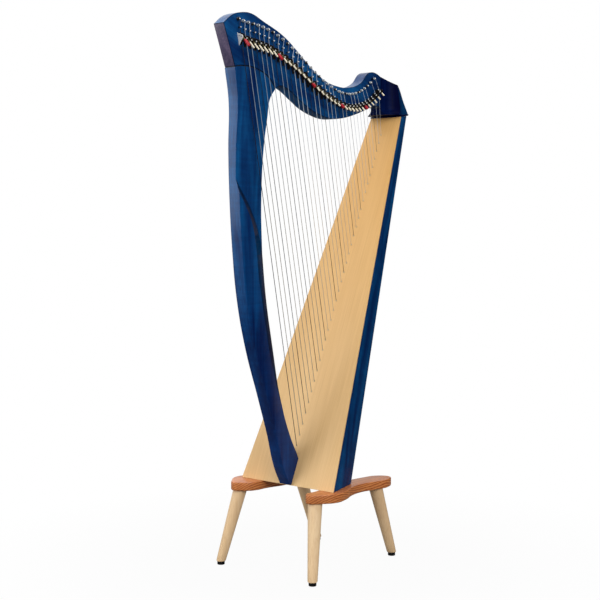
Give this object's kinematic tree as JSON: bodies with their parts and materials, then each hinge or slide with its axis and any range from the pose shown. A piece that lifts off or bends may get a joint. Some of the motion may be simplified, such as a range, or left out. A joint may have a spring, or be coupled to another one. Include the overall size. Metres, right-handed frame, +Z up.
{
  "type": "lever harp",
  "caption": "Upright lever harp with a carved blue-stained frame, pale soundboard, nylon strings with sharping levers, and a four-legged stand.",
  "frame": {"origin": "middle of the footprint on the floor, between the pillar's front and the back of the cap plate", "axes": "+Z up; +X from the pillar to the player's end at the soundbox; -Y is the string and lever side of the neck"},
  "size_m": [0.7782, 0.3746, 1.5028],
  "materials": {
    "blue_stained_wood": "satin lacquer over blue stain",
    "spruce": "satin lacquer",
    "pale_maple": "satin lacquer",
    "red_brown_wood": "satin lacquer",
    "cream_plastic": "satin",
    "red_plastic": "satin",
    "string_nylon": "smooth nylon, near white",
    "zinc_steel": "zinc plated",
    "black_rubber": "matt"
  },
  "bodies": {
    "harp_frame": {"base_board": "pale_maple", "cap_plate": "blue_stained_wood", "leg_back_left": "pale_maple", "leg_back_right": "pale_maple", "leg_front_left": "pale_maple", "leg_front_right": "pale_maple", "neck": "blue_stained_wood", "pillar": "blue_stained_wood", "rubber_foot_back_left": "black_rubber", "rubber_foot_back_right": "black_rubber", "rubber_foot_front_left": "black_rubber", "rubber_foot_front_right": "black_rubber", "shoulder": "blue_stained_wood", "soundboard": "spruce", "soundbox_back": "blue_stained_wood", "soundbox_side_left": "blue_stained_wood", "soundbox_side_right": "blue_stained_wood", "stand_bolt_left_1": "zinc_steel", "stand_bolt_left_2": "zinc_steel", "stand_bolt_right_1": "zinc_steel", "stand_bolt_right_2": "zinc_steel", "stand_rail_left": "red_brown_wood", "stand_rail_right": "red_brown_wood", "string_set": "string_nylon", "top_block": "pale_maple"},
    "lever_01_body": {"lever_01": "red_plastic"},
    "lever_02_body": {"lever_02": "cream_plastic"},
    "lever_03_body": {"lever_03": "cream_plastic"},
    "lever_04_body": {"lever_04": "cream_plastic"},
    "lever_05_body": {"lever_05": "cream_plastic"},
    "lever_06_body": {"lever_06": "cream_plastic"},
    "lever_07_body": {"lever_07": "cream_plastic"},
    "lever_08_body": {"lever_08": "red_plastic"},
    "lever_09_body": {"lever_09": "cream_plastic"},
    "lever_10_body": {"lever_10": "cream_plastic"},
    "lever_11_body": {"lever_11": "cream_plastic"},
    "lever_12_body": {"lever_12": "cream_plastic"},
    "lever_13_body": {"lever_13": "cream_plastic"},
    "lever_14_body": {"lever_14": "cream_plastic"},
    "lever_15_body": {"lever_15": "red_plastic"},
    "lever_16_body": {"lever_16": "cream_plastic"},
    "lever_17_body": {"lever_17": "cream_plastic"},
    "lever_18_body": {"lever_18": "cream_plastic"},
    "lever_19_body": {"lever_19": "cream_plastic"},
    "lever_20_body": {"lever_20": "cream_plastic"},
    "lever_21_body": {"lever_21": "cream_plastic"},
    "lever_22_body": {"lever_22": "red_plastic"},
    "lever_23_body": {"lever_23": "cream_plastic"},
    "lever_24_body": {"lever_24": "cream_plastic"},
    "lever_25_body": {"lever_25": "cream_plastic"},
    "lever_26_body": {"lever_26": "cream_plastic"},
    "lever_27_body": {"lever_27": "cream_plastic"},
    "lever_28_body": {"lever_28": "cream_plastic"},
    "lever_29_body": {"lever_29": "red_plastic"},
    "lever_30_body": {"lever_30": "cream_plastic"},
    "lever_31_body": {"lever_31": "cream_plastic"},
    "lever_32_body": {"lever_32": "cream_plastic"},
    "lever_33_body": {"lever_33": "cream_plastic"},
    "lever_34_body": {"lever_34": "cream_plastic"}
  },
  "joints": [
    {"name": "lever_01_turn", "type": "hinge", "parent": "harp_frame", "child": "lever_01_body", "pos_m": [-0.33256, -0.0304, 1.43697], "axis": [-0.9751, 0, -0.2215], "range_deg": [0, 90]},
    {"name": "lever_02_turn", "type": "hinge", "parent": "harp_frame", "child": "lever_02_body", "pos_m": [-0.31367, -0.03034, 1.43274], "axis": [-0.9748, 0, -0.2231], "range_deg": [0, 90]},
    {"name": "lever_03_turn", "type": "hinge", "parent": "harp_frame", "child": "lever_03_body", "pos_m": [-0.29516, -0.03028, 1.43012], "axis": [-0.9744, 0, -0.2246], "range_deg": [0, 90]},
    {"name": "lever_04_turn", "type": "hinge", "parent": "harp_frame", "child": "lever_04_body", "pos_m": [-0.27679, -0.03022, 1.42804], "axis": [-0.9741, 0, -0.2261], "range_deg": [0, 90]},
    {"name": "lever_05_turn", "type": "hinge", "parent": "harp_frame", "child": "lever_05_body", "pos_m": [-0.25838, -0.03016, 1.42572], "axis": [-0.9737, 0, -0.2277], "range_deg": [0, 90]},
    {"name": "lever_06_turn", "type": "hinge", "parent": "harp_frame", "child": "lever_06_body", "pos_m": [-0.2398, -0.0301, 1.42258], "axis": [-0.9734, 0, -0.2292], "range_deg": [0, 90]},
    {"name": "lever_07_turn", "type": "hinge", "parent": "harp_frame", "child": "lever_07_body", "pos_m": [-0.22095, -0.03004, 1.41827], "axis": [-0.973, 0, -0.2307], "range_deg": [0, 90]},
    {"name": "lever_08_turn", "type": "hinge", "parent": "harp_frame", "child": "lever_08_body", "pos_m": [-0.20178, -0.02998, 1.41257], "axis": [-0.9727, 0, -0.2323], "range_deg": [0, 90]},
    {"name": "lever_09_turn", "type": "hinge", "parent": "harp_frame", "child": "lever_09_body", "pos_m": [-0.18258, -0.02992, 1.40668], "axis": [-0.9723, 0, -0.2338], "range_deg": [0, 90]},
    {"name": "lever_10_turn", "type": "hinge", "parent": "harp_frame", "child": "lever_10_body", "pos_m": [-0.16306, -0.02985, 1.39942], "axis": [-0.9719, 0, -0.2353], "range_deg": [0, 90]},
    {"name": "lever_11_turn", "type": "hinge", "parent": "harp_frame", "child": "lever_11_body", "pos_m": [-0.14324, -0.02979, 1.39093], "axis": [-0.9715, 0, -0.2368], "range_deg": [0, 90]},
    {"name": "lever_12_turn", "type": "hinge", "parent": "harp_frame", "child": "lever_12_body", "pos_m": [-0.12318, -0.02973, 1.38142], "axis": [-0.9712, 0, -0.2384], "range_deg": [0, 90]},
    {"name": "lever_13_turn", "type": "hinge", "parent": "harp_frame", "child": "lever_13_body", "pos_m": [-0.10293, -0.02967, 1.37117], "axis": [-0.9708, 0, -0.2399], "range_deg": [0, 90]},
    {"name": "lever_14_turn", "type": "hinge", "parent": "harp_frame", "child": "lever_14_body", "pos_m": [-0.08256, -0.02961, 1.36044], "axis": [-0.9704, 0, -0.2414], "range_deg": [0, 90]},
    {"name": "lever_15_turn", "type": "hinge", "parent": "harp_frame", "child": "lever_15_body", "pos_m": [-0.06214, -0.02955, 1.34955], "axis": [-0.97, 0, -0.2429], "range_deg": [0, 90]},
    {"name": "lever_16_turn", "type": "hinge", "parent": "harp_frame", "child": "lever_16_body", "pos_m": [-0.042, -0.02949, 1.33974], "axis": [-0.9697, 0, -0.2445], "range_deg": [0, 90]},
    {"name": "lever_17_turn", "type": "hinge", "parent": "harp_frame", "child": "lever_17_body", "pos_m": [-0.02216, -0.02943, 1.33034], "axis": [-0.9692, 0, -0.2463], "range_deg": [0, 90]},
    {"name": "lever_18_turn", "type": "hinge", "parent": "harp_frame", "child": "lever_18_body", "pos_m": [-0.00283, -0.02937, 1.32162], "axis": [-0.9685, 0, -0.2488], "range_deg": [0, 90]},
    {"name": "lever_19_turn", "type": "hinge", "parent": "harp_frame", "child": "lever_19_body", "pos_m": [0.01598, -0.02931, 1.3138], "axis": [-0.9677, 0, -0.252], "range_deg": [0, 90]},
    {"name": "lever_20_turn", "type": "hinge", "parent": "harp_frame", "child": "lever_20_body", "pos_m": [0.0343, -0.02925, 1.30708], "axis": [-0.9667, 0, -0.2558], "range_deg": [0, 90]},
    {"name": "lever_21_turn", "type": "hinge", "parent": "harp_frame", "child": "lever_21_body", "pos_m": [0.05213, -0.02919, 1.30161], "axis": [-0.9655, 0, -0.2603], "range_deg": [0, 90]},
    {"name": "lever_22_turn", "type": "hinge", "parent": "harp_frame", "child": "lever_22_body", "pos_m": [0.06949, -0.02913, 1.29749], "axis": [-0.9641, 0, -0.2654], "range_deg": [0, 90]},
    {"name": "lever_23_turn", "type": "hinge", "parent": "harp_frame", "child": "lever_23_body", "pos_m": [0.0868, -0.02907, 1.29343], "axis": [-0.9625, 0, -0.2712], "range_deg": [0, 90]},
    {"name": "lever_24_turn", "type": "hinge", "parent": "harp_frame", "child": "lever_24_body", "pos_m": [0.1037, -0.02901, 1.29082], "axis": [-0.9607, 0, -0.2776], "range_deg": [0, 90]},
    {"name": "lever_25_turn", "type": "hinge", "parent": "harp_frame", "child": "lever_25_body", "pos_m": [0.12021, -0.02895, 1.28969], "axis": [-0.9586, 0, -0.2847], "range_deg": [0, 90]},
    {"name": "lever_26_turn", "type": "hinge", "parent": "harp_frame", "child": "lever_26_body", "pos_m": [0.13637, -0.02888, 1.29], "axis": [-0.9563, 0, -0.2924], "range_deg": [0, 90]},
    {"name": "lever_27_turn", "type": "hinge", "parent": "harp_frame", "child": "lever_27_body", "pos_m": [0.15219, -0.02882, 1.29172], "axis": [-0.9537, 0, -0.3007], "range_deg": [0, 90]},
    {"name": "lever_28_turn", "type": "hinge", "parent": "harp_frame", "child": "lever_28_body", "pos_m": [0.1677, -0.02876, 1.2948], "axis": [-0.9509, 0, -0.3096], "range_deg": [0, 90]},
    {"name": "lever_29_turn", "type": "hinge", "parent": "harp_frame", "child": "lever_29_body", "pos_m": [0.18292, -0.0287, 1.29922], "axis": [-0.9477, 0, -0.3192], "range_deg": [0, 90]},
    {"name": "lever_30_turn", "type": "hinge", "parent": "harp_frame", "child": "lever_30_body", "pos_m": [0.19794, -0.02864, 1.30464], "axis": [-0.9442, 0, -0.3294], "range_deg": [0, 90]},
    {"name": "lever_31_turn", "type": "hinge", "parent": "harp_frame", "child": "lever_31_body", "pos_m": [0.21264, -0.02858, 1.31144], "axis": [-0.9404, 0, -0.3402], "range_deg": [0, 90]},
    {"name": "lever_32_turn", "type": "hinge", "parent": "harp_frame", "child": "lever_32_body", "pos_m": [0.22697, -0.02852, 1.31972], "axis": [-0.9362, 0, -0.3515], "range_deg": [0, 90]},
    {"name": "lever_33_turn", "type": "hinge", "parent": "harp_frame", "child": "lever_33_body", "pos_m": [0.24081, -0.03058, 1.32968], "axis": [-0.9316, 0, -0.3635], "range_deg": [0, 90]},
    {"name": "lever_34_turn", "type": "hinge", "parent": "harp_frame", "child": "lever_34_body", "pos_m": [0.25399, -0.0344, 1.34162], "axis": [-0.9266, 0, -0.376], "range_deg": [0, 90]}
  ]
}
